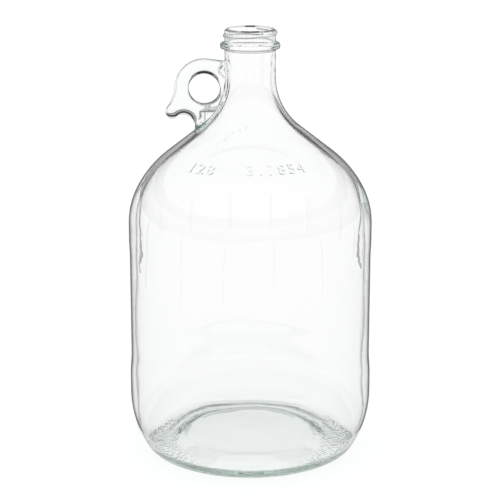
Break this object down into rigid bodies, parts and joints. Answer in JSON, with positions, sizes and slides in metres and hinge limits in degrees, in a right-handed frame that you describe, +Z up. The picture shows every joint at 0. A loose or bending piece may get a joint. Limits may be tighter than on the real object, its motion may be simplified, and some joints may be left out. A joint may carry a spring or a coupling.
{
  "type": "glass jug",
  "caption": "Clear glass jug with a domed shoulder, narrow neck, single thread screw finish and a finger ring handle with a curled tail; shallow push-up base.",
  "frame": {"origin": "on the jug's axis, at the level of the table that it stands on", "axes": "+Z up along the jug's axis, out of its mouth; the handle lies in the XZ plane on the -X side"},
  "size_m": [0.1688, 0.1688, 0.2966],
  "materials": {
    "glass": "clear, gloss, faintly green where it is thick"
  },
  "bodies": {
    "root": {"jug": "glass"}
  },
  "joints": []
}
